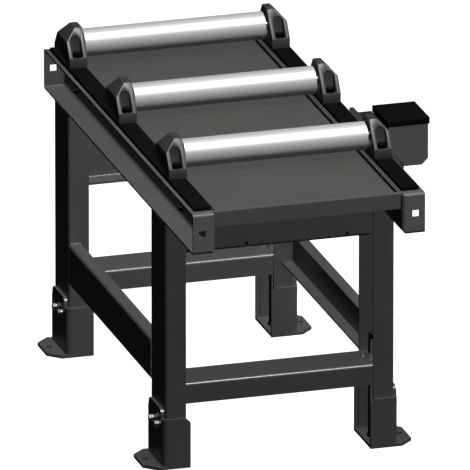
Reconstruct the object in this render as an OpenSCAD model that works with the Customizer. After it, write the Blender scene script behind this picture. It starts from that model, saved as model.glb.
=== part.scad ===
// Roller conveyor section on four levelling feet.
// X runs across the line, Y along it (the front end is at -Y), Z is up.
// The origin lies on the floor at the centre of the four anchor holes.

/* [Rails] */
// Length of the two side rails
rail_len = 1000; // [980:10:1300]
// Width over the outer edges of the rails
frame_w = 453; // [400:1:600]
// Height of the rails' top flanges above the floor
frame_top = 570; // [520:5:800]
// Width of a rail's flanges
rail_w = 44; // [42:1:60]
// Height of a rail
rail_h = 80; // [70:1:110]
// Sheet thickness of the rails
rail_t = 4; // [3:0.5:5]
// Outer bend radius of the rails
rail_bend = 6; // [5.5:0.5:8]
// Outer radius of the upright bends at the rails' ends
end_bend = 8; // [5.5:0.5:10]
// Outer radius of the bend between a rail's web and its lower flange
low_bend = 11; // [8:0.5:14]
// Overhang of the rails in front of the front legs' centre
front_overhang = 238; // [200:2:242]
// Side of the square hole in a rail's end plate
end_hole = 13.5; // [8:0.5:20]
// Distance of that hole's centre from the rail's outer edge
end_hole_in = 18; // [14:0.5:22]
// Height of that hole's centre above the rail's underside
end_hole_up = 40; // [30:1:45]
// Thickness of the black strips under the bearing blocks
strip_t = 7; // [3:0.5:10]
// Set back of a strip's ends from the rail's ends
strip_back = 18; // [5:1:30]
// Set back of a strip from the rail's outer edge
strip_in = 7; // [1:0.5:8]
// Set back of a strip from the rail's inner edge
strip_inner = 3; // [1:0.5:4]

/* [Tray] */
// Depth of the tray's top below the rails' top
tray_drop = 0; // [0:0.5:8]
// Sheet thickness of the tray
tray_t = 3; // [2:0.5:4]
// Gap between the tray and the right cleat
tray_gap = 8.6; // [2:0.1:14]
// Set back of the tray's ends from the rails' ends
tray_back = 12; // [8:1:30]
// Depth of the flanges turned down round the tray
tray_lip = 32; // [20:1:34]
// Depth of the cleats' lower legs, on which the tray stands
cleat_w = 25; // [12:1:40]
// Sheet thickness of the cleats
cleat_t = 3; // [2:0.5:4]
// Depth of a cleat's upper edge below the tray's top
cleat_drop = 2.2; // [1:0.1:10]
// Set back of the cleats' ends from the tray's ends
cleat_back = 11.4; // [6.5:0.1:30]

/* [Legs and braces] */
// Overhang of the rails behind the rear legs' centre
rear_overhang = 112; // [100:2:160]
// Width of a leg along the line
leg_w = 96; // [80:1:120]
// Depth of a leg across the line
leg_d = 41; // [34:1:42]
// Sheet thickness of the legs
leg_t = 4; // [3:0.5:5]
// Outer bend radius of the legs and braces
leg_bend = 6; // [5.5:0.5:8]
// Set back of a leg from the rail's outer edge
leg_in = 1.5; // [0:0.5:2]
// Height of a leg's lower end above the floor
leg_lift = 10; // [8:1:14]
// Height of the cross braces' top above the floor
brace_top = 165; // [150:1:170]
// Height of a cross brace
brace_h = 41; // [25:1:45]
// Gap between a cross brace and the leg's flanges
brace_gap = 1; // [0.5:0.5:4]
// Height of the side braces' underside above the floor
side_z = 145; // [127:1:180]
// Height of a side brace
side_h = 82; // [40:1:120]
// Depth of a side brace's flanges
side_d = 25; // [15:1:36]

/* [Crossbeams] */
// Depth of the front crossbeam's lower part below the rails
beam_drop = 66; // [40:1:90]
// Depth of the rear crossbeam's lower part below the rails
rear_beam_drop = 166; // [100:1:190]
// Sheet thickness of the crossbeams
beam_t = 4; // [3:0.5:5]
// Gap between the lower part and each leg
beam_gap = 3; // [2:0.5:20]
// Gap between the wide upper part and the cleats that carry the tray
beam_clear = 1; // [0.5:0.5:6]
// Depth of the flange along a beam's lower edge
beam_flange = 40; // [15:1:45]
// Depth of the ears that meet the rails' webs
ear_d = 36; // [25:1:60]
// Thread of the beams' screws
beam_screw_d = 6; // [5:0.5:8]

/* [Feet] */
// Wall thickness of a foot's bracket
foot_t = 6; // [4:0.5:8]
// Gap between a foot's side walls and the leg
foot_gap = 1; // [0.5:0.5:2]
// Running gap between a foot's back wall and the leg
slide_gap = 0.3; // [0.3:0.1:0.8]
// Reach of a foot's side walls from the leg's outer face
foot_reach = 48; // [46:1:60]
// Height of a foot's side walls
foot_h = 99; // [92:1:102]
// Height of the tab that carries a foot's bolts
tab_h = 117; // [108:1:119]
// Chamfer at the top of a side wall
foot_chamfer = 9; // [3:0.5:15]
// Thickness of a foot's base plate
base_t = 6; // [5:0.5:7]
// Reach of the anchor lug beyond the bracket
lug_out = 33; // [30:1:60]
// Straight part of the lug before its chamfers
lug_shoulder = 8; // [4:0.5:15]
// Width of the lug's outer edge
lug_tip = 62; // [40:1:80]
// Anchor hole
anchor_d = 12; // [8:0.5:14]
// Distance of the anchor hole from the bracket
anchor_out = 18.7; // [18:0.1:24]
// Height of a foot's bolts above the floor
foot_bolt_z = 80; // [78:1:84]
// Distance between the two bolts of a foot
foot_bolt_pitch = 35; // [24:1:50]
// Thread of the feet's bolts
foot_bolt_d = 8; // [6:0.5:8]
// Travel of a foot below its highest position
foot_travel = 35; // [10:1:35]

/* [Levelling screws] */
// Thread of the levelling screws
jack_d = 12; // [8:0.5:13]
// Distance of a levelling screw from the leg's outer face
jack_in = 31; // [27:0.5:31]
// Height of a levelling screw's top above the floor
jack_top = 213; // [211:1:240]
// Diameter of the collar that a screw stands on
collar_d = 16; // [14:1:26]
// Height of that collar
collar_h = 6; // [4:0.5:12]
// Thread of the small bolts in the cross braces
brace_bolt_d = 6; // [4:0.5:7]
// Offset of those bolts from the levelling screw, both ways
brace_bolt_off = 13; // [13:0.5:15]

/* [Rollers] */
// Diameter of the rollers
roller_d = 54; // [40:1:60]
// Wall thickness of a roller's tube
roller_wall = 3; // [2:0.5:5]
// Distance of the first roller from the rails' front end
roller_first = 236; // [220:1:240]
// Distance of the last roller from the rails' rear end
roller_last = 97.4; // [75:0.1:110]
// Gap between a roller and each bearing block
roller_gap = 4; // [2:0.5:10]
// Diameter of the roller shafts
shaft_d = 20; // [12:0.5:22]
// Thickness of the discs in a roller's ends
disc_t = 8; // [4:0.5:15]
// Set back of those discs from the tube's ends
disc_back = 3; // [1:0.5:8]
// Outer diameter of the bearings
bearing_d = 40; // [32:1:44]
// Width of the bearings
bearing_w = 12; // [8:0.5:14]
// Running gap of a shaft in its bearing
shaft_gap = 0.05; // [0.02:0.01:0.1]

/* [Bearing blocks] */
// Width of a block across the line
block_w = 35.2; // [32:0.1:36]
// Length of a block along the line
block_len = 104; // [98:1:130]
// Height of a block
block_h = 69; // [62:1:90]
// Height of the shaft's axis above the block's seat
axis_h = 32; // [28:0.5:36]
// Height of the block's foot
block_foot = 19; // [10:0.5:22]
// Length of the flat crown
crown_len = 34; // [30:1:44]
// Width of the flat crown
crown_w = 15; // [10:0.5:26]
// Height of the upright part of the outer side
cheek_h = 47; // [40:1:54]
// Set back of a block from the rail's inner edge
block_in = 1; // [0:0.5:2]
// Width of a bolt pocket
pocket_w = 21; // [20.5:0.5:24]
// Height of a bolt pocket above the block's foot
pocket_h = 38; // [24:1:40]
// Length of the core between the two pockets
core_len = 50; // [46:1:56]
// Thread of the blocks' bolts
block_bolt_d = 10; // [6:0.5:10]
// Set back of a block's bolts from its ends
block_bolt_in = 12; // [11.5:0.5:14]

/* [Side box] */
// Width of the box across the line
box_w = 79.5; // [60:0.5:120]
// Length of the box along the line
box_len = 93; // [70:1:140]
// Height of the box below its lid
box_h = 81; // [60:1:120]
// Wall thickness of the box
box_t = 2.5; // [1.5:0.5:4]
// Chamfer along the lower outer edge of the box
box_chamfer = 12; // [4:1:20]
// Height of the lid's skirt
lid_h = 13; // [8:0.5:20]
// Wall thickness of the lid
lid_t = 2; // [1:0.5:3]
// Gap between the lid's skirt and the box
lid_gap = 0.5; // [0.3:0.1:1]
// Height of the lid's lower edge below the rails' top
lid_drop = 3; // [2:1:16]
// Distance between the mounting bar and the box
box_out = 36; // [30:1:70]
// Distance of the box from the rails' front end
box_y = 382; // [300:1:392]
// Thickness of the mounting bar
bar_t = 8; // [5:0.5:12]
// Height of the mounting bar
bar_h = 40; // [36:1:60]
// Length of the mounting bar
bar_len = 326; // [280:2:400]
// Distance of the mounting bar from the rails' front end
bar_y = 162; // [120:1:180]
// Height of the bar's top above the rails' top
bar_rise = 6; // [3:0.5:7]
// Sheet thickness of the box's bracket
bracket_t = 3; // [2:0.5:5]
// Depth of the bracket's turned-down flanges
bracket_h = 38; // [34:1:38]
// Thread of the bolts at the bar and the bracket
box_bolt_d = 6; // [4:0.5:6]

/* [Hidden] */
$fn = 64;
// Overrun of every cut beyond the face it opens
over = 1;
// Clearance of every bolt in its hole, on the diameter
hole_gap = 0.6;
// Hexagon, washer, nut and tail as shares of the thread
hex_share = 1.6;
head_share = 0.65;
nut_share = 0.8;
washer_share = 2;
washer_t_share = 0.2;
tail_share = 0.3;
// Flats on top of a levelling screw, as shares of its thread
flat_share = 0.75;
flat_h_share = 1;

leg_pitch = rail_len - front_overhang - rear_overhang;
roller_pitch = (rail_len - roller_first - roller_last) / 2;
rail_x = frame_w / 2;
rail_z = frame_top - rail_h;
rail_y = -leg_pitch / 2 - front_overhang;
web_x = rail_x - rail_w;
leg_x = rail_x - leg_in;
brace_z = brace_top - brace_h;
seat_z = frame_top + strip_t;
axis_z = seat_z + axis_h;
roller_y = [for (i = [0 : 2]) rail_y + roller_first + i * roller_pitch];
block_x = web_x + block_in;
block_bolt_y = block_len / 2 - block_bolt_in;
roller_len = 2 * (block_x - roller_gap);
// Set back of a bearing from its block's inner face
bearing_in = 2;
// Overrun of a shaft beyond its bearings
shaft_end = 2;
// Dimensions worked out for the feet
foot_x0 = -slide_gap - foot_t;
foot_half = leg_w / 2 + foot_gap + foot_t;
slot_w = foot_bolt_d + hole_gap;
// Heights of the two screws in each ear, as shares of the beam's upper part
ear_shares = [0.43, 0.8];
// Plain screws on the beams' faces, as shares of the frame's width
face_screw_shares = [-0.1415, 0.2935];
front_screw_up = 9;
rear_screw_up = 16;
beam_y = leg_pitch / 2 + leg_w / 2 - leg_t;
face_screw_d = 3;
tray_z = frame_top - tray_drop;
tray_bend = tray_t + 0.5;
cleat_z = tray_z - tray_lip - cleat_t;
tray_x0 = -web_x + cleat_t;
tray_x1 = web_x - cleat_t - tray_gap;
beam_up = cleat_z - beam_clear - rail_z;
foot_bend = foot_t + leg_bend;
tab_half = leg_w / 2 - leg_bend;
tab_r = 12;
bracket_side = 8;
bracket_bend_in = 1;
bracket_bend = bracket_t + bracket_bend_in;
beam_half = leg_x - leg_d - beam_gap;
bar_x = rail_x;
box_x = bar_x + bar_t + box_out;
bar_z1 = frame_top + bar_rise;
lid_z = frame_top - lid_drop;
box_z = lid_z - box_h;
box_y0 = rail_y + box_y;
bracket_top = lid_z - slide_gap;
// Depth of the bolts below the bar's top, as a share of its height
bar_bolt_share = 0.6;
// The bar's bolts: one set back from its front end, the other in front of the box
bar_bolt_in = 81.5;
bar_bolt_off = 24.4;
bar_bolt_y = [bar_y + bar_bolt_in, box_y - bar_bolt_off];
// Places of the bracket's screws, as shares of the box's length
bracket_bolt_shares = [0.2, 0.8];
bar_bolt_z = bar_z1 - bar_bolt_share * bar_h;

steel = "#8d8f91";
paint = "#7b7d7e";
grey = "#9b9c9d";
black = "#1d1e20";
zinc = "#c9cccf";
cast = "#85878a";

// Rectangle with a radius of its own at each corner
module plate_2d(w, h, r) {
    difference() {
        square([w, h]);
        if (r[0] > 0) corner_cut(r[0]);
        if (r[1] > 0) translate([w, 0]) mirror([1, 0]) corner_cut(r[1]);
        if (r[2] > 0) translate([w, h]) mirror([1, 0]) mirror([0, 1]) corner_cut(r[2]);
        if (r[3] > 0) translate([0, h]) mirror([0, 1]) corner_cut(r[3]);
    }
}

module corner_cut(r) {
    difference() {
        translate([-over, -over]) square(r + over);
        translate([r, r]) circle(r);
    }
}

// Extrusions of an outline: along Y it lies in X and Z, along X in Y and Z
module along_y(y0, y1) {
    translate([0, y1, 0]) rotate([90, 0, 0]) linear_extrude(y1 - y0) children();
}

module along_x(x0, x1) {
    translate([x0, 0, 0]) rotate([90, 0, 90]) linear_extrude(x1 - x0) children();
}

module on_right() {
    mirror([1, 0, 0]) children();
}

module both_sides() {
    children();
    on_right() children();
}

module hexagon(af, h) {
    cylinder(h = h, d = af / cos(30), $fn = 6);
}

// Bolt along Z: its head's washer lies on z = 0, the nut below the grip
module bolt(d, grip, with_nut = true) {
    wt = d * washer_t_share;
    nh = d * nut_share;
    cylinder(h = wt, d = d * washer_share);
    translate([0, 0, wt]) hexagon(d * hex_share, d * head_share);
    tail = with_nut ? wt + nh + d * tail_share : 0;
    translate([0, 0, -grip - tail]) cylinder(h = grip + tail, d = d);
    if (with_nut) {
        translate([0, 0, -grip - wt]) cylinder(h = wt, d = d * washer_share);
        translate([0, 0, -grip - wt - nh]) hexagon(d * hex_share, nh);
    }
}

// Rails
module rail_outline(d, r, e, b) {
    intersection() {
        along_y(rail_y + d, rail_y + rail_len - d)
            translate([-rail_x - (d > 0 ? over : 0), rail_z + d])
                plate_2d(rail_w - d + (d > 0 ? over : 0), rail_h - 2 * d, [0, b, r, 0]);
        along_x(-rail_x - over, rail_x)
            translate([rail_y + d, rail_z + d])
                plate_2d(rail_len - 2 * d, rail_h - 2 * d, [r, r, r, r]);
        translate([-rail_x - over, rail_y + d, rail_z])
            linear_extrude(rail_h)
                plate_2d(rail_w + over - d, rail_len - 2 * d, [0, e, e, 0]);
    }
}

module at_block_bolts() {
    for (y = roller_y, e = [-1, 1])
        translate([-block_x - block_w / 2, y + e * block_bolt_y, 0]) children();
}

module at_ears() {
    for (s = [-1, 1], k = ear_shares)
        translate([0, s * (beam_y - ear_d / 2), rail_z + k * beam_up]) children();
}

module rail() {
    difference() {
        rail_outline(0, rail_bend, end_bend, low_bend);
        rail_outline(rail_t, rail_bend - rail_t, end_bend - rail_t, low_bend - rail_t);
        along_y(rail_y - over, rail_y + rail_len + over)
            translate([-rail_x + end_hole_in - end_hole / 2, rail_z + end_hole_up - end_hole / 2])
                square(end_hole);
        at_block_bolts()
            translate([0, 0, frame_top - rail_t - over])
                cylinder(h = rail_t + 2 * over, d = block_bolt_d + hole_gap);
        translate([-web_x - rail_t - over, 0, 0])
            at_ears() rotate([0, 90, 0])
                cylinder(h = rail_t + 2 * over, d = beam_screw_d + hole_gap);
    }
}

module strip() {
    difference() {
        translate([-rail_x + strip_in, rail_y + strip_back, frame_top])
            cube([rail_w - strip_in - strip_inner, rail_len - 2 * strip_back, strip_t]);
        at_block_bolts()
            translate([0, 0, frame_top - over])
                cylinder(h = strip_t + 2 * over, d = block_bolt_d + hole_gap);
    }
}

// Tray between the rails: a pan with its flanges down, its end lips as wide as the space
module tray_shell(x0, x1, end_reach) {
    y0 = rail_y + tray_back;
    len = rail_len - 2 * tray_back;
    difference() {
        along_x(x0, x1)
            translate([y0, tray_z - tray_lip])
                difference() {
                    plate_2d(len, tray_lip, [0, 0, tray_bend, tray_bend]);
                    translate([tray_t, -over])
                        plate_2d(len - 2 * tray_t, tray_lip - tray_t + over,
                                 [0, 0, tray_bend - tray_t, tray_bend - tray_t]);
                }
        if (end_reach > 0)
            translate([x0 - over, y0 + end_reach, tray_z - tray_lip - over])
                cube([x1 - x0 + 2 * over, len - 2 * end_reach, tray_lip + 2 * over]);
    }
}

module tray() {
    color(steel) {
        tray_shell(tray_x0, tray_x1, 0);
        tray_shell(-web_x, web_x, tray_bend);
        for (x = [tray_x0, tray_x1 - tray_t])
            translate([x, rail_y + tray_back + tray_t, tray_z - tray_lip])
                cube([tray_t, rail_len - 2 * tray_back - 2 * tray_t, tray_lip - tray_t]);
    }
}

// Cleat welded to the rail's web, with the tray's flange on its lower leg
module tray_cleat() {
    y0 = rail_y + tray_back + cleat_back;
    color(steel)
        along_y(y0, y0 + rail_len - 2 * tray_back - 2 * cleat_back)
            translate([-web_x, cleat_z])
                difference() {
                    square([cleat_w, tray_z - cleat_drop - cleat_z]);
                    translate([cleat_t, cleat_t])
                        square([cleat_w, tray_z - cleat_z]);
                }
}

// Crossbeams
module beam_faces(drop, up) {
    for (k = face_screw_shares)
        translate([k * frame_w, -beam_y, rail_z - drop + up]) rotate([90, 0, 0]) children();
}

module crossbeam(drop, up) {
    color(paint)
        difference() {
            union() {
                along_x(-beam_half, beam_half)
                    translate([-beam_y, rail_z - drop])
                        difference() {
                            plate_2d(beam_flange, drop, [leg_bend, 0, 0, 0]);
                            translate([beam_t, beam_t])
                                plate_2d(beam_flange, drop, [leg_bend - beam_t, 0, 0, 0]);
                        }
                translate([-web_x, -beam_y, rail_z])
                    linear_extrude(beam_up)
                        difference() {
                            plate_2d(2 * web_x, ear_d, [leg_bend, leg_bend, 0, 0]);
                            translate([beam_t, beam_t])
                                plate_2d(2 * web_x - 2 * beam_t, ear_d,
                                         [leg_bend - beam_t, leg_bend - beam_t, 0, 0]);
                        }
            }
            translate([-web_x - over, 0, 0])
                at_ears() rotate([0, 90, 0])
                    cylinder(h = 2 * web_x + 2 * over, d = beam_screw_d + hole_gap);
            beam_faces(drop, up)
                translate([0, 0, -beam_t - over])
                    cylinder(h = beam_t + 2 * over, d = face_screw_d);
        }
}

module beam_screws() {
    color(zinc) {
        both_sides()
            translate([-web_x + beam_t, 0, 0])
                at_ears() rotate([0, 90, 0]) bolt(beam_screw_d, beam_t + rail_t);
        beam_faces(beam_drop, front_screw_up) face_screw();
        rotate([0, 0, 180])
            beam_faces(rear_beam_drop, rear_screw_up) face_screw();
    }
}

module face_screw() {
    bolt(face_screw_d, beam_t + face_screw_d, false);
}

// Legs: in each leg's own frame x runs inward from its outer face
module at_leg(side, end) {
    if (side < 0) translate([-leg_x, end * leg_pitch / 2, 0]) children();
    else on_right() translate([-leg_x, end * leg_pitch / 2, 0]) children();
}

module at_foot_bolts() {
    for (e = [-1, 1])
        translate([0, e * foot_bolt_pitch / 2, foot_bolt_z]) children();
}

module leg() {
    color(paint)
        difference() {
            translate([0, -leg_w / 2, leg_lift])
                linear_extrude(rail_z - leg_lift)
                    difference() {
                        plate_2d(leg_d, leg_w, [leg_bend, 0, 0, leg_bend]);
                        translate([leg_t, leg_t])
                            plate_2d(leg_d, leg_w - 2 * leg_t, [leg_bend - leg_t, 0, 0, leg_bend - leg_t]);
                    }
            at_foot_bolts()
                along_x(-over, leg_t + over) {
                    circle(d = slot_w);
                    translate([-slot_w / 2, -foot_travel]) square([slot_w, foot_travel]);
                    translate([0, -foot_travel]) circle(d = slot_w);
                }
        }
}

// Braces
module side_brace() {
    color(paint)
        along_y(-leg_pitch / 2 + leg_w / 2, leg_pitch / 2 - leg_w / 2)
            translate([-leg_x, side_z])
                difference() {
                    plate_2d(side_d, side_h, [leg_bend, 0, 0, leg_bend]);
                    translate([leg_t, leg_t])
                        plate_2d(side_d, side_h - 2 * leg_t, [leg_bend - leg_t, 0, 0, leg_bend - leg_t]);
                }
}

module at_brace_bolt() {
    translate([jack_in + brace_bolt_off, brace_bolt_off, brace_top]) children();
}

module cross_brace(end) {
    depth = leg_w - 2 * leg_t - 2 * brace_gap;
    color(paint)
        difference() {
            along_x(-leg_x + leg_t, leg_x - leg_t)
                translate([end * leg_pitch / 2 - depth / 2, brace_z])
                    difference() {
                        plate_2d(depth, brace_h, [0, 0, leg_bend, leg_bend]);
                        translate([leg_t, -over])
                            plate_2d(depth - 2 * leg_t, brace_h - leg_t + over,
                                     [0, 0, leg_bend - leg_t, leg_bend - leg_t]);
                    }
            for (side = [-1, 1])
                at_leg(side, end) {
                    translate([jack_in, 0, brace_z])
                        cylinder(h = brace_h + over, d = jack_d + 2 * slide_gap);
                    at_brace_bolt()
                        translate([0, 0, -leg_t - over])
                            cylinder(h = leg_t + 2 * over, d = brace_bolt_d + hole_gap);
                }
        }
}

module jack_nuts() {
    color(zinc)
        for (side = [-1, 1], end = [-1, 1])
            at_leg(side, end)
                translate([jack_in, 0, brace_top])
                    difference() {
                        hexagon(jack_d * hex_share, jack_d * nut_share);
                        translate([0, 0, -over])
                            cylinder(h = jack_d * nut_share + 2 * over, d = jack_d + 2 * shaft_gap);
                    }
}

module brace_bolts() {
    color(zinc)
        for (side = [-1, 1], end = [-1, 1])
            at_leg(side, end) at_brace_bolt() bolt(brace_bolt_d, leg_t);
}

// Feet
module foot() {
    color(paint)
        difference() {
            union() {
                intersection() {
                    translate([foot_x0, -foot_half, 0])
                        linear_extrude(foot_h)
                            difference() {
                                plate_2d(foot_reach - foot_x0, 2 * foot_half, [foot_bend, 0, 0, foot_bend]);
                                translate([foot_t, foot_t])
                                    plate_2d(foot_reach - foot_x0, 2 * foot_half - 2 * foot_t,
                                             [leg_bend, 0, 0, leg_bend]);
                            }
                    along_y(-foot_half - over, foot_half + over)
                        polygon([
                            [foot_x0 - over, 0], [foot_reach, 0],
                            [foot_reach, foot_h - foot_chamfer],
                            [foot_reach - foot_chamfer, foot_h], [foot_x0 - over, foot_h]
                        ]);
                }
                along_x(foot_x0, -slide_gap)
                    translate([-tab_half, base_t])
                        plate_2d(2 * tab_half, tab_h - base_t, [0, 0, tab_r, tab_r]);
                linear_extrude(base_t)
                    polygon([
                        [foot_reach, -foot_half], [foot_reach, foot_half],
                        [foot_x0 - lug_shoulder, foot_half], [foot_x0 - lug_out, lug_tip / 2],
                        [foot_x0 - lug_out, -lug_tip / 2], [foot_x0 - lug_shoulder, -foot_half]
                    ]);
            }
            at_foot_bolts()
                along_x(foot_x0 - over, over) circle(d = slot_w);
            translate([foot_x0 - anchor_out, 0, -over])
                cylinder(h = base_t + 2 * over, d = anchor_d);
        }
}

module foot_bolts() {
    color(zinc)
        at_foot_bolts()
            translate([foot_x0, 0, 0]) rotate([0, -90, 0])
                bolt(foot_bolt_d, foot_t + slide_gap + leg_t + slide_gap);
}

module jack() {
    color(black)
        translate([jack_in, 0, base_t]) {
            flats_z = jack_top - base_t - flat_h_share * jack_d;
            cylinder(h = collar_h, d = collar_d);
            difference() {
                cylinder(h = jack_top - base_t, d = jack_d);
                for (a = [0, 180])
                    rotate([0, 0, a])
                        translate([flat_share * jack_d / 2, -jack_d, flats_z])
                            cube([jack_d, 2 * jack_d, flat_h_share * jack_d + over]);
            }
        }
}

// Rollers and their blocks
module block(side, k) {
    color(cast)
        translate([0, roller_y[k], 0]) {
            if (side < 0) left_block();
            else on_right() left_block();
        }
}

module left_block() {
    difference() {
        intersection() {
            along_y(-block_len / 2, block_len / 2)
                translate([-block_x, seat_z])
                    polygon([
                        [0, 0], [0, block_h], [-crown_w, block_h],
                        [-block_w, cheek_h], [-block_w, 0]
                    ]);
            along_x(-block_x - block_w - over, -block_x + over)
                translate([0, seat_z])
                    polygon([
                        [-block_len / 2, 0], [block_len / 2, 0], [block_len / 2, block_foot],
                        [crown_len / 2, block_h], [-crown_len / 2, block_h], [-block_len / 2, block_foot]
                    ]);
        }
        for (e = [-1, 1])
            translate([-block_x - block_w / 2, 0, seat_z + block_foot]) {
                along_y(e < 0 ? -block_len / 2 - over : core_len / 2,
                        e < 0 ? -core_len / 2 : block_len / 2 + over) {
                    translate([-pocket_w / 2, 0]) square([pocket_w, pocket_h - pocket_w / 2]);
                    translate([0, pocket_h - pocket_w / 2]) circle(d = pocket_w);
                }
                translate([0, e * block_bolt_y, -block_foot - over])
                    cylinder(h = block_foot + 2 * over, d = block_bolt_d + hole_gap);
            }
        translate([-block_x, 0, axis_z]) rotate([0, 90, 0]) {
            translate([0, 0, -bearing_in - bearing_w])
                cylinder(h = bearing_in + bearing_w + over, d = bearing_d);
            translate([0, 0, -bearing_in - bearing_w - 2 * shaft_end])
                cylinder(h = 2 * shaft_end + over, d = shaft_d + 2 * shaft_end);
        }
    }
}

module bearings() {
    color(black)
        for (y = roller_y)
            both_sides()
                translate([-block_x - bearing_in, y, axis_z]) rotate([0, 90, 0])
                    translate([0, 0, -bearing_w])
                        difference() {
                            cylinder(h = bearing_w, d = bearing_d);
                            translate([0, 0, -over])
                                cylinder(h = bearing_w + 2 * over, d = shaft_d + 2 * shaft_gap);
                        }
}

module block_bolts() {
    color(zinc)
        both_sides()
            at_block_bolts()
                translate([0, 0, seat_z + block_foot])
                    bolt(block_bolt_d, block_foot + strip_t + rail_t);
}

module at_roller(k) {
    translate([0, roller_y[k], axis_z]) rotate([0, 90, 0]) children();
}

module ring(h, outer, inner) {
    difference() {
        cylinder(h = h, d = outer);
        translate([0, 0, -over]) cylinder(h = h + 2 * over, d = inner);
    }
}

module tube(k) {
    color("#cfd2d4")
        at_roller(k)
            translate([0, 0, -roller_len / 2])
                ring(roller_len, roller_d, roller_d - 2 * roller_wall);
}

module discs(k) {
    color(steel)
        at_roller(k)
            for (a = [0, 180])
                rotate([a, 0, 0])
                    translate([0, 0, roller_len / 2 - disc_back - disc_t])
                        ring(disc_t, roller_d - 2 * roller_wall, shaft_d);
}

module shaft(k) {
    reach = block_x + bearing_in + bearing_w + shaft_end;
    color(steel)
        at_roller(k)
            translate([0, 0, -reach]) cylinder(h = 2 * reach, d = shaft_d);
}

// Box on the right rail
module box_body() {
    k = box_t * tan(22.5);
    top = lid_h - lid_t + box_h;
    color(grey)
        difference() {
            along_y(box_y0, box_y0 + box_len)
                translate([box_x, box_z])
                    polygon([
                        [0, 0], [box_w - box_chamfer, 0], [box_w, box_chamfer], [box_w, top], [0, top]
                    ]);
            along_y(box_y0 + box_t, box_y0 + box_len - box_t)
                translate([box_x, box_z])
                    polygon([
                        [box_t, box_t], [box_w - box_chamfer - k, box_t],
                        [box_w - box_t, box_chamfer + k], [box_w - box_t, top + over], [box_t, top + over]
                    ]);
            at_box_screws()
                translate([0, 0, -box_t - over])
                    cylinder(h = box_t + 2 * over, d = box_bolt_d + hole_gap);
        }
}

module at_box_screws() {
    for (k = bracket_bolt_shares)
        translate([box_x, box_y0 + k * box_len, bar_bolt_z]) rotate([0, -90, 0]) children();
}

module box_lid() {
    reach = lid_gap + lid_t;
    color(black)
        difference() {
            translate([box_x - reach, box_y0 - reach, lid_z])
                cube([box_w + 2 * reach, box_len + 2 * reach, lid_h]);
            translate([box_x - lid_gap, box_y0 - lid_gap, lid_z - over])
                cube([box_w + 2 * lid_gap, box_len + 2 * lid_gap, lid_h - lid_t + over]);
        }
}

// Points on the bar's outer face: its own bolts, and those of the bracket
module at_bar_bolts() {
    for (y = bar_bolt_y)
        translate([bar_x + bar_t, rail_y + y, bar_bolt_z]) rotate([0, 90, 0]) children();
}

module at_bracket_bolts() {
    for (k = bracket_bolt_shares)
        translate([bar_x + bar_t, box_y0 + k * box_len, bar_bolt_z]) rotate([0, 90, 0]) children();
}

module mounting_bar() {
    color("#b4b6b8")
        difference() {
            translate([bar_x, rail_y + bar_y, bar_z1 - bar_h]) cube([bar_t, bar_len, bar_h]);
            at_bar_bolts() bar_hole();
            at_bracket_bolts() bar_hole();
        }
}

module bar_hole() {
    translate([0, 0, -bar_t - over]) cylinder(h = bar_t + 2 * over, d = box_bolt_d + hole_gap);
}

module box_bracket() {
    y0 = box_y0 - bracket_side;
    color(black)
        difference() {
            along_y(y0, y0 + box_len + 2 * bracket_side)
                translate([bar_x + bar_t, bracket_top - bracket_h])
                    difference() {
                        plate_2d(box_out, bracket_h, [0, 0, bracket_bend, bracket_bend]);
                        translate([bracket_t, -over])
                            plate_2d(box_out - 2 * bracket_t, bracket_h - bracket_t + over,
                                     [0, 0, bracket_bend - bracket_t, bracket_bend - bracket_t]);
                    }
            at_box_screws()
                translate([0, 0, -over])
                    cylinder(h = bracket_t + 2 * over, d = box_bolt_d + hole_gap);
            at_bracket_bolts()
                translate([0, 0, -over])
                    cylinder(h = bracket_t + 2 * over, d = box_bolt_d + hole_gap);
        }
}

// Two bolts hold the bar, each through a sleeve that stands on the rail's web
module bar_bolts() {
    sleeve = rail_w - rail_t;
    color(zinc)
        at_bar_bolts() {
            bolt(box_bolt_d, bar_t + sleeve + rail_t, false);
            translate([0, 0, -bar_t - sleeve]) cylinder(h = sleeve, d = box_bolt_d * washer_share);
        }
}

module box_screws() {
    color(zinc) {
        at_box_screws() translate([0, 0, bracket_t]) bolt(box_bolt_d, bracket_t + box_t);
        at_bracket_bolts() translate([0, 0, bracket_t]) bolt(box_bolt_d, bracket_t + bar_t);
    }
}

module rail_left() {
    color(steel) rail();
}

module rail_right() {
    color(steel)
        difference() {
            on_right() rail();
            at_bar_bolts()
                translate([0, 0, -bar_t - rail_w - over]) cylinder(h = rail_t + 2 * over, d = box_bolt_d);
        }
}

rail_left();
rail_right();
color(black) strip();  // strip_left
color(black) on_right() strip();  // strip_right
tray();
tray_cleat();  // tray_cleat_left
on_right() tray_cleat();  // tray_cleat_right
crossbeam(beam_drop, front_screw_up);  // crossbeam_front
rotate([0, 0, 180]) crossbeam(rear_beam_drop, rear_screw_up);  // crossbeam_rear
beam_screws();
at_leg(-1, -1) leg();  // leg_front_left
at_leg(1, -1) leg();  // leg_front_right
at_leg(-1, 1) leg();  // leg_rear_left
at_leg(1, 1) leg();  // leg_rear_right
side_brace();  // side_brace_left
on_right() side_brace();  // side_brace_right
cross_brace(-1);  // cross_brace_front
cross_brace(1);  // cross_brace_rear
jack_nuts();
brace_bolts();
at_leg(-1, -1) foot();  // foot_front_left
at_leg(1, -1) foot();  // foot_front_right
at_leg(-1, 1) foot();  // foot_rear_left
at_leg(1, 1) foot();  // foot_rear_right
at_leg(-1, -1) foot_bolts();  // foot_bolts_front_left
at_leg(1, -1) foot_bolts();  // foot_bolts_front_right
at_leg(-1, 1) foot_bolts();  // foot_bolts_rear_left
at_leg(1, 1) foot_bolts();  // foot_bolts_rear_right
at_leg(-1, -1) jack();  // jack_front_left
at_leg(1, -1) jack();  // jack_front_right
at_leg(-1, 1) jack();  // jack_rear_left
at_leg(1, 1) jack();  // jack_rear_right
block(-1, 0);  // block_front_left
block(1, 0);  // block_front_right
block(-1, 1);  // block_mid_left
block(1, 1);  // block_mid_right
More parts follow.
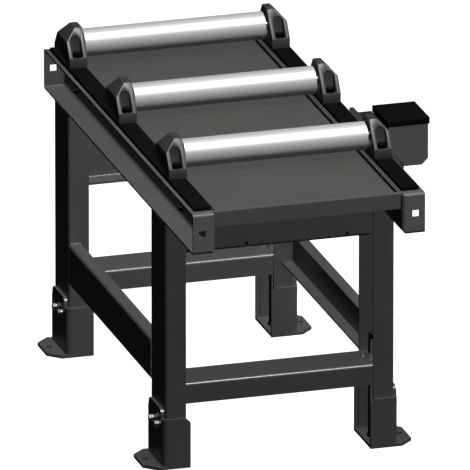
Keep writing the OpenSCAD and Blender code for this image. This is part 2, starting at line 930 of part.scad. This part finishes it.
block(-1, 2);  // block_rear_left
block(1, 2);  // block_rear_right
bearings();
block_bolts();
tube(0);  // tube_front
tube(1);  // tube_mid
tube(2);  // tube_rear
discs(0);  // discs_front
discs(1);  // discs_mid
discs(2);  // discs_rear
shaft(0);  // shaft_front
shaft(1);  // shaft_mid
shaft(2);  // shaft_rear
box_body();
box_lid();
mounting_bar();
box_bracket();
bar_bolts();
box_screws();
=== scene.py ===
import math
import bpy
import bmesh
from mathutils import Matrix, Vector


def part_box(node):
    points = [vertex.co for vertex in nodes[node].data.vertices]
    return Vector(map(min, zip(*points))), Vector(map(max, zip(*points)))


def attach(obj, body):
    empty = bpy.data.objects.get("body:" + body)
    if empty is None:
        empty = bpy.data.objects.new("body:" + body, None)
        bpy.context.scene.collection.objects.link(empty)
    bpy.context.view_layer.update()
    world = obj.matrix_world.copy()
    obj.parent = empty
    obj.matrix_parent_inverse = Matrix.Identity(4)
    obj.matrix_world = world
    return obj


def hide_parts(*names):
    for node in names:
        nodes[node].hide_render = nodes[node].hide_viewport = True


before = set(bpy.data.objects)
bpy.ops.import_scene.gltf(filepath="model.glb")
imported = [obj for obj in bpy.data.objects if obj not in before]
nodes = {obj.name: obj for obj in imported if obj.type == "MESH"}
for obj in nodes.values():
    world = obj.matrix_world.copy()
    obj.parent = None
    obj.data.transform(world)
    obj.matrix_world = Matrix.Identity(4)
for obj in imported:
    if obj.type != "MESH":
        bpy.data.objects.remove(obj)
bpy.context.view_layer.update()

# The photograph's view.
# The object is seen from its front left, a little from above. The camera stands 42 m away, so
# that parallel edges stay nearly parallel, as they do in the photograph.
view_turn, view_rise = math.radians(16.637), math.radians(19.461)
px_per_m, photo_px = 527.66, 470
view_distance = 42.0
toward_camera = Vector((-math.sin(view_turn) * math.cos(view_rise),
                        -math.cos(view_turn) * math.cos(view_rise), math.sin(view_rise)))
view_right = Vector((math.cos(view_turn), -math.sin(view_turn), 0))
view_up = toward_camera.cross(view_right)
# This point of the frame lies on this pixel of the photograph
seen_point, seen_px = Vector((0, 0, 0.3)), (223.2, 243.8)
aim = (seen_point + view_right * ((photo_px / 2 - seen_px[0]) / px_per_m)
       + view_up * ((seen_px[1] - photo_px / 2) / px_per_m))
scene = bpy.context.scene
camera = bpy.data.objects.new("camera", bpy.data.cameras.new("camera"))
bpy.context.collection.objects.link(camera)
camera.data.lens = px_per_m * view_distance * camera.data.sensor_width / photo_px
camera.data.clip_end = 2 * view_distance
camera.location = aim + toward_camera * view_distance
camera.rotation_mode = "QUATERNION"
camera.rotation_quaternion = toward_camera.to_track_quat("Z", "Y")
scene.camera = camera
scene.view_settings.view_transform = "Standard"
# The photograph has no light that bounces from one part to the next: hollows stay nearly black
scene.cycles.diffuse_bounces = 0
scene.cycles.glossy_bounces = 1

# Studio.
# One lamp stands high at the right front. Most of its light comes from a shadowless twin in the
# same place, so that the legs and feet behind the rails stay as evenly lit as in the photograph.
# A low lamp at the rear lifts the faces that turn away from both.
lamp_aim, lamp_size = Vector((0, 0, 0.3)), 1.8
high_front, low_rear = Vector((1.1, -4.1, 8.2)), Vector((0.8, 6.5, 0.3))


def lamp(name, spot, watts, shadows):
    """A round area lamp that looks at the object's middle."""
    light = bpy.data.lights.new(name, "AREA")
    light.energy = watts
    light.shape = "DISK"
    light.size = lamp_size
    light.use_shadow = shadows
    holder = bpy.data.objects.new(name, light)
    holder.location = spot
    holder.rotation_mode = "QUATERNION"
    holder.rotation_quaternion = (spot - lamp_aim).to_track_quat("Z", "Y")
    bpy.context.collection.objects.link(holder)
    return holder


lamp("key_lamp", high_front, 130, True)
lamp("shadowless_twin", high_front, 900, False)
# Its mirror image on sheets that are seen at a low angle would be too bright, so they don't show it
lamp("rear_fill", low_rear, 200, False).visible_glossy = False


def add(tree, kind, inputs=None, **settings):
    """Adds a node; an input is a value or another node's socket."""
    node = tree.nodes.new(kind)
    for key, value in settings.items():
        setattr(node, key, value)
    for key, value in (inputs or {}).items():
        if isinstance(value, bpy.types.NodeSocket):
            tree.links.new(value, node.inputs[key])
        else:
            node.inputs[key].default_value = value
    return node


def empty_tree(owner):
    """The node tree of a world or a material, with its first nodes taken out."""
    owner.use_nodes = True
    owner.node_tree.nodes.clear()
    return owner.node_tree


room = bpy.data.worlds.new("room")
scene.world = room
tree = empty_tree(room)
ray = add(tree, "ShaderNodeLightPath")
way = add(tree, "ShaderNodeTexCoord")
split = add(tree, "ShaderNodeSeparateXYZ", {0: way.outputs["Generated"]})
white = (1, 1, 1, 1)
# Dull faces get a dim light that grows toward the right
right_light = add(tree, "ShaderNodeMapRange", {
    "Value": split.outputs["X"], "From Min": -0.5, "From Max": 0.6, "To Min": 0.015, "To Max": 0.1})
walls = add(tree, "ShaderNodeBackground", {"Color": white, "Strength": right_light.outputs[0]})
# Glossy faces mirror nearly black walls under a pale ceiling
ceiling_light = add(tree, "ShaderNodeMapRange", {
    "Value": split.outputs["Z"], "From Min": 0.6, "From Max": 1.0, "To Min": 0.005, "To Max": 0.3})
mirrored = add(tree, "ShaderNodeBackground", {"Color": white, "Strength": ceiling_light.outputs[0]})
# The camera sees plain white
backdrop = add(tree, "ShaderNodeBackground", {"Color": white, "Strength": 1.0})
unseen = add(tree, "ShaderNodeMixShader", {
    0: ray.outputs["Is Glossy Ray"], 1: walls.outputs[0], 2: mirrored.outputs[0]})
pick = add(tree, "ShaderNodeMixShader", {
    0: ray.outputs["Is Camera Ray"], 1: unseen.outputs[0], 2: backdrop.outputs[0]})
add(tree, "ShaderNodeOutputWorld", {"Surface": pick.outputs[0]})

# The floor lies just under the feet. It looks almost white to the camera, with faint shadows,
# and almost black to every other ray, so that it throws no light up at the object
floor_half, floor_drop = 30, 0.0006
corners = [(x * floor_half, y * floor_half, -floor_drop) for x, y in ((-1, -1), (1, -1), (1, 1), (-1, 1))]
floor_mesh = bpy.data.meshes.new("floor")
floor_mesh.from_pydata(corners, [], [(0, 1, 2, 3)])
floor = bpy.data.objects.new("floor", floor_mesh)
bpy.context.collection.objects.link(floor)
sweep = bpy.data.materials.new("pale_studio_floor")
tree = empty_tree(sweep)
ray = add(tree, "ShaderNodeLightPath")
lit = add(tree, "ShaderNodeBsdfDiffuse", {"Color": (0.35, 0.35, 0.35, 1)})
glow = add(tree, "ShaderNodeEmission", {"Color": white, "Strength": 0.93})
seen = add(tree, "ShaderNodeAddShader", {0: lit.outputs[0], 1: glow.outputs[0]})
bounce = add(tree, "ShaderNodeBsdfDiffuse", {"Color": (0.012, 0.012, 0.012, 1)})
pick = add(tree, "ShaderNodeMixShader", {
    0: ray.outputs["Is Camera Ray"], 1: bounce.outputs[0], 2: seen.outputs[0]})
add(tree, "ShaderNodeOutputMaterial", {"Surface": pick.outputs[0]})
floor_mesh.materials.append(sweep)


# Painted frame.
# Rails, tray, crossbeams, legs, braces and feet are bent or welded from 4 to 6 mm steel sheet and
# sprayed with satin enamel. The front legs, feet, crossbeam and cross brace get it in a darker grey.
def linear(hex_colour):
    """An sRGB hex colour as the linear colour that a node takes."""
    parts = [int(hex_colour[i:i + 2], 16) / 255 for i in (1, 3, 5)]
    return tuple(c / 12.92 if c < 0.04045 else ((c + 0.055) / 1.055) ** 2.4 for c in parts) + (1,)


def enamel(name, colour, roughness, peel_mm, peel_depth, shine=0.5):
    """Sprayed paint: its colour wanders a little, and its film ripples at peel_mm."""
    made = bpy.data.materials.new(name)
    tree = empty_tree(made)
    place = add(tree, "ShaderNodeTexCoord").outputs["Object"]
    cloud = add(tree, "ShaderNodeTexNoise", {"Vector": place, "Scale": 6.0, "Detail": 3.0})
    tone = add(tree, "ShaderNodeMapRange", {
        "Value": cloud.outputs["Fac"], "From Min": 0.3, "From Max": 0.7, "To Min": 0.95, "To Max": 1.05})
    # Sockets 6 and 7 of a colour mix take its two colours, and socket 2 gives the result
    base = add(tree, "ShaderNodeMix", {0: 1.0, 6: linear(colour), 7: tone.outputs[0]},
               data_type="RGBA", blend_type="MULTIPLY")
    peel = add(tree, "ShaderNodeTexNoise", {"Vector": place, "Scale": 1000 / peel_mm, "Detail": 2.0})
    relief = add(tree, "ShaderNodeBump", {
        "Height": peel.outputs["Fac"], "Strength": 0.12, "Distance": peel_depth})
    gloss = add(tree, "ShaderNodeMapRange", {
        "Value": cloud.outputs["Fac"], "From Min": 0.3, "From Max": 0.7,
        "To Min": roughness - 0.04, "To Max": roughness + 0.04})
    skin = add(tree, "ShaderNodeBsdfPrincipled", {
        "Base Color": base.outputs[2], "Roughness": gloss.outputs[0], "Normal": relief.outputs[0],
        "Specular IOR Level": shine, "IOR": 1.5})
    add(tree, "ShaderNodeOutputMaterial", {"Surface": skin.outputs[0]})
    return made


def finish_with(made, *names):
    """Gives these CAD nodes this material alone."""
    for name in names:
        mesh = nodes[name].data
        mesh.materials.clear()
        mesh.materials.append(made)


ends, sides, rows = ("front", "rear"), ("left", "right"), ("front", "mid", "rear")
# Satin enamel shows broad, soft highlights on the folds
frame_paint = enamel("satin_grey_enamel_on_sheet", "#545250", 0.36, 3.0, 0.0001, 1.0)
front_paint = enamel("darker_satin_enamel_on_front_parts", "#434142", 0.36, 3.0, 0.0001, 1.0)
# The tray is sprayed nearly matt, so it looks even from end to end
tray_paint = enamel("matt_grey_enamel_on_tray", "#4a4947", 0.6, 3.0, 0.0002, 0.1)
# The rails lie between the two, with a faint sheen along their webs
rail_paint = enamel("satin_grey_enamel_on_rails", "#555351", 0.5, 3.0, 0.0002, 0.4)
finish_with(tray_paint, "tray")
finish_with(rail_paint, "rail_left", "rail_right")
finish_with(frame_paint, "tray_cleat_left", "tray_cleat_right", "crossbeam_rear",
            "side_brace_left", "side_brace_right", "cross_brace_rear")
finish_with(front_paint, "crossbeam_front", "cross_brace_front")
for side in sides:
    finish_with(front_paint, "leg_front_" + side, "foot_front_" + side)
    finish_with(frame_paint, "leg_rear_" + side, "foot_rear_" + side)

# Strips on the rails.
# A black bar lies along the top of each rail, and the bearing blocks stand on it, held by the
# same bolts. Its matt coat gives back hardly any light, so it reads as one dark band.
strip_coat = enamel("matt_black_strip", "#0d0e0e", 0.7, 2.0, 0.0001, 0.02)
finish_with(strip_coat, "strip_left", "strip_right")


# Weld beads.
# The legs are joined to the rails, and the braces to the legs, by short fillet welds. They are
# laid as overlapping ripples of steel and painted over with the rest.
def group(name, **sizes):
    """A Geometry Nodes tree with a geometry input and one named number input for each size."""
    tree = bpy.data.node_groups.new(name, "GeometryNodeTree")
    tree.interface.new_socket("Geometry", in_out="INPUT", socket_type="NodeSocketGeometry")
    tree.interface.new_socket("Geometry", in_out="OUTPUT", socket_type="NodeSocketGeometry")
    for size, value in sizes.items():
        socket = tree.interface.new_socket(size, in_out="INPUT", socket_type="NodeSocketFloat")
        socket.default_value = value
    return tree, tree.nodes.new("NodeGroupInput"), tree.nodes.new("NodeGroupOutput")


def grow(name, tree, seeds, body, slot, **inputs):
    """Runs the tree on the seed mesh with these inputs, and makes the result a plain piece."""
    seed = bpy.data.objects.new(name + "_seed", seeds)
    bpy.context.collection.objects.link(seed)
    push = seed.modifiers.new("grow", "NODES")
    push.node_group = tree
    for item in tree.interface.items_tree:
        if item.in_out == "INPUT" and item.name in inputs:
            push[item.identifier] = inputs[item.name]
    grown = seed.evaluated_get(bpy.context.evaluated_depsgraph_get())
    piece = bpy.data.objects.new(name, bpy.data.meshes.new_from_object(grown))
    bpy.data.objects.remove(seed)
    bpy.context.collection.objects.link(piece)
    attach(piece, body)
    return piece


bead_tree, given, result = group("weld_beads", Width=0.004, Pitch=0.0025)
line = add(bead_tree, "GeometryNodeMeshToCurve", {"Mesh": given.outputs["Geometry"]})
ripples = add(bead_tree, "GeometryNodeCurveToPoints", {
    "Curve": line.outputs[0], "Length": given.outputs["Pitch"]}, mode="LENGTH")
ball = add(bead_tree, "GeometryNodeMeshUVSphere", {"Segments": 10, "Rings": 6, "Radius": 0.5})
thick = add(bead_tree, "ShaderNodeCombineXYZ", {
    "X": given.outputs["Width"], "Y": given.outputs["Width"], "Z": given.outputs["Width"]})
laid = add(bead_tree, "GeometryNodeInstanceOnPoints", {
    "Points": ripples.outputs["Points"], "Instance": ball.outputs["Mesh"], "Scale": thick.outputs[0]})
solid = add(bead_tree, "GeometryNodeRealizeInstances", {0: laid.outputs[0]})
paint = add(bead_tree, "GeometryNodeSetMaterial", {"Geometry": solid.outputs[0], "Material": frame_paint})
bead_tree.links.new(paint.outputs[0], result.inputs[0])


def weld(name, body, lines):
    """One piece with a bead along each line, which is two points."""
    points = [p for line in lines for p in line]
    mesh = bpy.data.meshes.new(name)
    mesh.from_pydata(points, [(2 * i, 2 * i + 1) for i in range(len(lines))], [])
    grow(name, bead_tree, mesh, body, "frame_paint")


leg_low, leg_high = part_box("leg_rear_right")
side_low, side_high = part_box("side_brace_right")
cross_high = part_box("cross_brace_rear")[1]
leg_y, flange_y = (leg_low.y + leg_high.y) / 2, leg_low.y
rail_seam_half, cross_seam_half = 0.038, 0.034
# The seams of a side brace lie on the thickness of its sheet and stop short of its folds
web_seam_x, web_seam_z = side_high.x - 0.0015, (side_low.z + 0.007, side_high.z - 0.007)
top_seam_x = (side_high.x - 0.006, side_low.x + 0.002)
seams = []
for x_way in (-1, 1):
    for y_way in (-1, 1):
        seams += [
            [(x_way * leg_high.x, y_way * leg_y + y, leg_high.z) for y in (-rail_seam_half, rail_seam_half)],
            [(x_way * web_seam_x, y_way * flange_y, z) for z in web_seam_z],
            [(x_way * x, y_way * flange_y, side_high.z) for x in top_seam_x],
            [(x_way * cross_high.x, y_way * leg_y + y, cross_high.z)
             for y in (-cross_seam_half, cross_seam_half)],
        ]
weld("frame_welds", "frame", seams)


# Levelling screws.
# M12 rod with a rolled thread and black oxide, turned by the flats at its top; a collar at its
# foot stands on the base plate. The thread is drawn at its real 1.75 mm pitch.
def bare_steel(name, colour, roughness, brush_mm, along, metal=1.0):
    """Machined or plated steel, with marks that run in the direction where along is small.

    Real marks are finer than a pixel, so they are drawn a few millimetres wide to show at all.
    """
    made = bpy.data.materials.new(name)
    tree = empty_tree(made)
    place = add(tree, "ShaderNodeTexCoord").outputs["Object"]
    stretch = add(tree, "ShaderNodeMapping", {"Vector": place, "Scale": along})
    marks = add(tree, "ShaderNodeTexNoise", {
        "Vector": stretch.outputs[0], "Scale": 1000 / brush_mm, "Detail": 3.0})
    wear = add(tree, "ShaderNodeMapRange", {
        "Value": marks.outputs["Fac"], "From Min": 0.3, "From Max": 0.7,
        "To Min": roughness - 0.05, "To Max": roughness + 0.07})
    shade = add(tree, "ShaderNodeMapRange", {
        "Value": marks.outputs["Fac"], "From Min": 0.3, "From Max": 0.7, "To Min": 0.93, "To Max": 1.03})
    base = add(tree, "ShaderNodeMix", {0: 1.0, 6: linear(colour), 7: shade.outputs[0]},
               data_type="RGBA", blend_type="MULTIPLY")
    relief = add(tree, "ShaderNodeBump", {
        "Height": marks.outputs["Fac"], "Strength": 0.08, "Distance": 0.0001})
    skin = add(tree, "ShaderNodeBsdfPrincipled", {
        "Base Color": base.outputs[2], "Metallic": metal, "Roughness": wear.outputs[0],
        "Normal": relief.outputs[0]})
    add(tree, "ShaderNodeOutputMaterial", {"Surface": skin.outputs[0]})
    return made


def shell(name, rings, made):
    """A closed mesh through rings of points, each ring joined to the next and the last to the first."""
    mesh = bpy.data.meshes.new(name)
    count, sides_of = len(rings), len(rings[0])
    mesh.from_pydata([p for ring in rings for p in ring], [], [
        (i * sides_of + k, i * sides_of + (k + 1) % sides_of,
         (i + 1) % count * sides_of + (k + 1) % sides_of, (i + 1) % count * sides_of + k)
        for i in range(count) for k in range(sides_of)])
    work = bmesh.new()
    work.from_mesh(mesh)
    bmesh.ops.remove_doubles(work, verts=work.verts, dist=1e-6)
    # Rings of no radius have become points, and a bare edge may be left between two of them
    bare = [e for e in work.edges if not e.link_faces]
    bmesh.ops.delete(work, geom=bare, context="EDGES")
    bmesh.ops.recalc_face_normals(work, faces=work.faces)
    work.to_mesh(mesh)
    work.free()
    mesh.shade_smooth()
    mesh.set_sharp_from_angle(angle=math.radians(35))
    mesh.materials.append(made)
    piece = bpy.data.objects.new(name, mesh)
    bpy.context.collection.objects.link(piece)
    return piece


def circle(radius, height, sides_of, spot=(0, 0)):
    """A level ring of points round this spot."""
    turn = [2 * math.pi * k / sides_of for k in range(sides_of)]
    return [(spot[0] + radius * math.cos(a), spot[1] + radius * math.sin(a), height) for a in turn]


# Black oxide is thin and a little glossy, so the thread glints along its crests
black_oxide = bare_steel("black_oxide_steel", "#2a2c2e", 0.45, 2.0, (1, 1, 8))
rod_r, core_r, pitch, thread_foot = 0.006, 0.0051, 0.00175, 0.008
collar_tall, collar_edge = 0.006, 0.0008
flats_len, flats_half, neck_r, runout, end_chamfer = 0.012, 0.0045, 0.0052, 0.0005, 0.0008
# The thread begins above the collar, and its heights are from the base plate's top. Its section
# is a triangle wave, made steeper and lowered, then cut off flat at the crest and the root
flank_slope, flank_drop = 1.35, 0.12
steps, thread_sides = 8, 32


def thread_ring(spot, height, crest):
    """One ring of the thread; its crest stands at this share of a turn."""
    ring = []
    for k in range(thread_sides):
        wave = abs((crest - k / thread_sides) % 1 * 2 - 1)
        reach = core_r + (rod_r - core_r) * min(1, max(0, flank_slope * wave - flank_drop))
        a = 2 * math.pi * k / thread_sides
        ring.append((spot[0] + reach * math.cos(a), spot[1] + reach * math.sin(a), height))
    return ring


for end in ends:
    for side in sides:
        node = f"jack_{end}_{side}"
        low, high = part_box(node)
        spot = ((low.x + high.x) / 2, (low.y + high.y) / 2)
        collar_r = (high.x - low.x) / 2
        rings = [circle(radius, low.z + height, thread_sides, spot) for radius, height in (
            (0.0, 0.0), (collar_r - collar_edge, 0.0), (collar_r, collar_edge),
            (collar_r, collar_tall - collar_edge), (collar_r - collar_edge, collar_tall))]
        start, stop = low.z + thread_foot, high.z - flats_len
        for i in range(int((stop - start) / pitch * steps) + 1):
            rings.append(thread_ring(spot, start + i * pitch / steps, i / steps))
        for radius, height in ((neck_r, stop + runout), (neck_r, high.z - end_chamfer),
                               (flats_half, high.z), (0.0, high.z)):
            ring = circle(radius, height, thread_sides, spot)
            near, far = spot[0] - flats_half, spot[0] + flats_half
            rings.append([(max(near, min(far, x)), y, z) for x, y, z in ring])
        screw = shell(f"threaded_screw_{end}_{side}", rings, black_oxide)
        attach(screw, node)
        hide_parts(node)

# Fasteners.
# Cold forged hexagon bolts and nuts with turned chamfers, zinc plated on the feet and braces and
# black on the bearing blocks. Each is tightened on its washer and stands at its own angle.
# Zinc gives small bright faces, and black oxide dark ones with a dull edge of light
plating = bare_steel("zinc_plated_fasteners", "#d4d7d9", 0.3, 2.0, (1, 1, 1))
black_bolts = bare_steel("black_oxide_fasteners", "#26282a", 0.4, 2.0, (1, 1, 1))
# Sizes for a screw of diameter 1: a washer twice as wide, a hexagon, and the screw's free end
washer_t, washer_r, washer_edge, washer_face_r = 0.2, 1, 0.03, 0.98
hex_across, hex_foot_across, hex_foot = 1.6, 1.56, 0.04
head_t, nut_t, tail_len = 0.65, 0.8, 0.3
cone_r, cone_share, screw_r, screw_end_r, screw_end_chamfer = 0.76, 0.475, 0.5, 0.42, 0.08
fastener_sides = 48


def hexagon(across, height, slack):
    """A ring of a hexagon's outline; where it lies outside the turned cone, its height drops."""
    ring = []
    for k in range(fastener_sides):
        a = 2 * math.pi * k / fastener_sides
        reach = across / 2 / math.cos((a + math.pi / 6) % (math.pi / 3) - math.pi / 6)
        drop = slack * max(0, reach - across * cone_share) * math.tan(math.radians(30))
        ring.append((reach * math.cos(a), reach * math.sin(a), height - drop))
    return ring


def fastener(name, thick, tail):
    """Washer, hexagon of this thickness, and the screw's tail if any, for a screw of diameter 1."""
    top = washer_t + thick
    rings = [circle(radius, height, fastener_sides) for radius, height in (
        (0, 0), (washer_face_r, 0), (washer_r, washer_edge),
        (washer_r, washer_t - washer_edge), (washer_face_r, washer_t))]
    rings += [hexagon(hex_foot_across, washer_t, 0), hexagon(hex_across, washer_t + hex_foot, 0),
              hexagon(hex_across, top, 1), circle(cone_r, top, fastener_sides)]
    if tail:
        rings += [circle(screw_r, top, fastener_sides),
                  circle(screw_r, top + tail - screw_end_chamfer, fastener_sides)]
    rings += [circle(screw_end_r, top + tail, fastener_sides), circle(0, top + tail, fastener_sides)]
    return shell(name, rings, plating)


head_shape, nut_shape = fastener("bolt_head", head_t, 0), fastener("nut_and_tail", nut_t, tail_len)
bolt_tree, given, result = group("fasteners", Spread=6.28)
for part in ("Head", "Nut"):
    bolt_tree.interface.new_socket(part, in_out="INPUT", socket_type="NodeSocketObject")
bolt_tree.interface.new_socket("Finish", in_out="INPUT", socket_type="NodeSocketMaterial")
axis, size, is_nut = [
    add(bolt_tree, "GeometryNodeInputNamedAttribute", {"Name": name}, data_type=kind).outputs[0]
    for name, kind in (("axis", "FLOAT_VECTOR"), ("size", "FLOAT"), ("nut", "BOOLEAN"))]
is_head = add(bolt_tree, "FunctionNodeBooleanMath", {0: is_nut}, operation="NOT").outputs[0]
upright = add(bolt_tree, "FunctionNodeAlignRotationToVector", {"Vector": axis}, axis="Z").outputs[0]
angle = add(bolt_tree, "FunctionNodeRandomValue", {"Min": 0.0, "Seed": 7}, data_type="FLOAT")
# This node has sockets of the same name for each kind of value, and only the number's are enabled
widest = [s for s in angle.inputs if s.name == "Max" and s.enabled][0]
bolt_tree.links.new(given.outputs["Spread"], widest)
drawn = [s for s in angle.outputs if s.enabled][0]
spin = add(bolt_tree, "FunctionNodeAxisAngleToRotation", {"Axis": (0, 0, 1), "Angle": drawn}).outputs[0]
turned = add(bolt_tree, "FunctionNodeRotateRotation", {
    "Rotation": upright, "Rotate By": spin}, rotation_space="LOCAL").outputs[0]
both = add(bolt_tree, "GeometryNodeJoinGeometry")
for part, chosen in (("Head", is_head), ("Nut", is_nut)):
    shape = add(bolt_tree, "GeometryNodeObjectInfo", {"Object": given.outputs[part]}).outputs["Geometry"]
    put = add(bolt_tree, "GeometryNodeInstanceOnPoints", {
        "Points": given.outputs["Geometry"], "Selection": chosen, "Instance": shape,
        "Rotation": turned, "Scale": size})
    bolt_tree.links.new(put.outputs[0], both.inputs[0])
solid = add(bolt_tree, "GeometryNodeRealizeInstances", {0: both.outputs[0]})
coat = add(bolt_tree, "GeometryNodeSetMaterial", {
    "Geometry": solid.outputs[0], "Material": given.outputs["Finish"]})
bolt_tree.links.new(coat.outputs[0], result.inputs[0])


def solids(node):
    """The lowest and highest corner of each separate solid in a CAD node."""
    copy = bmesh.new()
    copy.from_mesh(nodes[node].data)
    bmesh.ops.remove_doubles(copy, verts=copy.verts, dist=1e-6)
    left, found = set(copy.verts), []
    while left:
        island, edge = set(), [left.pop()]
        while edge:
            v = edge.pop()
            island.add(v)
            near = {e.other_vert(v) for e in v.link_edges} & left
            left -= near
            edge += near
        found.append([[f(v.co[i] for v in island) for i in range(3)] for f in (min, max)])
    copy.free()
    # A set gives its members in no fixed order, and each bolt's angle goes by its place in the list
    return sorted(found)


def bolts(node, body, slot, finish, along, outward=None):
    """Heads and nuts where the CAD node has its bolts; each axis points along, or away from x 0."""
    head_len, nut_len = washer_t + head_t, washer_t + nut_t + tail_len
    points, axes, wide, nuts = [], [], [], []
    for low, high in solids(node):
        middle = Vector([(a + b) / 2 for a, b in zip(low, high)])
        d = (high[1] - low[1]) / 2
        way = Vector(along) if outward is None else Vector((math.copysign(1, middle.x), 0, 0))
        length = abs(Vector([b - a for a, b in zip(low, high)]).dot(way))
        seat = middle + way * (length / 2 - head_len * d)
        points += [seat, seat - way * (length - (head_len + nut_len) * d)]
        axes += [way, -way]
        wide += [d, d]
        nuts += [False, True]
    mesh = bpy.data.meshes.new(node + "_points")
    mesh.from_pydata(points, [], [])
    kept = mesh.attributes
    kept.new("axis", "FLOAT_VECTOR", "POINT").data.foreach_set("vector", [c for a in axes for c in a])
    kept.new("size", "FLOAT", "POINT").data.foreach_set("value", wide)
    kept.new("nut", "BOOLEAN", "POINT").data.foreach_set("value", nuts)
    piece = grow("hex_" + node, bolt_tree, mesh, body, slot, Head=head_shape, Nut=nut_shape, Finish=finish)
    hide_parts(node)


bolts("block_bolts", "frame", "screw_black", black_bolts, (0, 0, 1))
bolts("brace_bolts", "frame", "zinc", plating, (0, 0, 1))
for end in ends:
    for side in sides:
        bolts(f"foot_bolts_{end}_{side}", f"foot_{end}_{side}", "zinc", plating, None, outward=True)
for shape in (head_shape, nut_shape):
    bpy.data.objects.remove(shape)
finish_with(plating, "jack_nuts", "bar_bolts", "box_screws")
finish_with(black_bolts, "beam_screws")
# Only the screws in the rear crossbeam's face, away from the rails, are plated
screws, beside_rails = nodes["beam_screws"].data, 0.17
screws.materials.append(plating)
for face in screws.polygons:
    face.material_index = int(abs(face.center.x) < beside_rails and face.center.y > 0)

# Rollers.
# Drawn steel tubes, bright zinc plated, with both ends faced square and their edges broken, on
# ground shafts that run in ball bearings inside the blocks.
# The plating is pale and half metallic, so a soft white band runs along each tube
roller_steel = bare_steel("bright_zinc_plated_tube", "#d6d4d2", 0.42, 3.0, (6, 1, 1), 0.45)
tube_wall, edge_break, tube_sides = 0.003, 0.0008, 96
for row in rows:
    low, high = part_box("tube_" + row)
    middle, outer = (low + high) / 2, (high.z - low.z) / 2
    profile = [(low.x, outer - edge_break), (low.x + edge_break, outer), (high.x - edge_break, outer),
               (high.x, outer - edge_break), (high.x, outer - tube_wall), (low.x, outer - tube_wall)]
    rings = [[(x, middle.y + p[1], middle.z + p[0]) for p in circle(radius, 0, tube_sides)]
             for x, radius in profile]
    tube = shell("plated_tube_" + row, rings, roller_steel)
    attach(tube, "roller_" + row)
    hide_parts("tube_" + row)
# Grinding leaves the shafts and bearings clean and darker than the plating
ground_steel = bare_steel("ground_steel", "#a9abad", 0.3, 2.0, (8, 1, 1))
finish_with(ground_steel, "bearings", *[f"{part}_{row}" for part in ("shaft", "discs") for row in rows])


# Bearing blocks.
# Sand cast, with the soft edges and the grain of a casting, painted like the frame and held by
# two bolts in the arched pockets at their ends.
def softened(node, made, width, body):
    """A copy of the CAD piece whose sharp edges are rounded to this width."""
    mesh = bpy.data.meshes.new("soft_" + node)
    copy = bmesh.new()
    copy.from_mesh(nodes[node].data)
    bmesh.ops.remove_doubles(copy, verts=copy.verts, dist=1e-6)
    bmesh.ops.dissolve_limit(copy, angle_limit=math.radians(0.5), verts=copy.verts, edges=copy.edges)
    sharp = [e for e in copy.edges if len(e.link_faces) == 2 and e.calc_face_angle() > math.radians(28)]
    bmesh.ops.bevel(copy, geom=sharp, offset=width, segments=2, profile=0.5, affect="EDGES",
                    clamp_overlap=True)
    bmesh.ops.dissolve_degenerate(copy, dist=1e-5, edges=copy.edges)
    bmesh.ops.recalc_face_normals(copy, faces=copy.faces)
    copy.to_mesh(mesh)
    copy.free()
    mesh.shade_smooth()
    mesh.set_sharp_from_angle(angle=math.radians(35))
    mesh.materials.append(made)
    piece = bpy.data.objects.new("soft_" + node, mesh)
    bpy.context.collection.objects.link(piece)
    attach(piece, body)
    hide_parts(node)


# Paint on a sand casting looks grainy and darker than on sheet
cast_paint = enamel("grey_painted_casting", "#3b3b3a", 0.42, 5.0, 0.0004, 0.35)
cast_edge = 0.0008
for row in rows:
    for side in sides:
        softened(f"block_{row}_{side}", cast_paint, cast_edge, "frame")

# Box on the right rail.
# A folded sheet box, painted like the frame, under a moulded black cap, hung by a black bracket
# from a bare drawn bar. The cap's edge is rounded to a little less than half its 2 mm wall.
finish_with(frame_paint, "box_body")
# Moulded in a matt plastic that looks black from every side
cap_plastic = enamel("moulded_black_cap", "#0d0e0e", 0.6, 1.5, 0.0001, 0.02)
cap_edge = 0.0009
softened("box_lid", cap_plastic, cap_edge, "box_lid")
# Black paint with a faint sheen on the bracket
bracket_paint = enamel("black_bracket_paint", "#191a1b", 0.5, 3.0, 0.0002)
finish_with(bracket_paint, "box_bracket")
# Drawing leaves long marks and a grey shine along the bar
drawn_bar = bare_steel("drawn_steel_bar", "#b9bbbd", 0.38, 2.0, (1, 0.1, 1))
finish_with(drawn_bar, "mounting_bar")
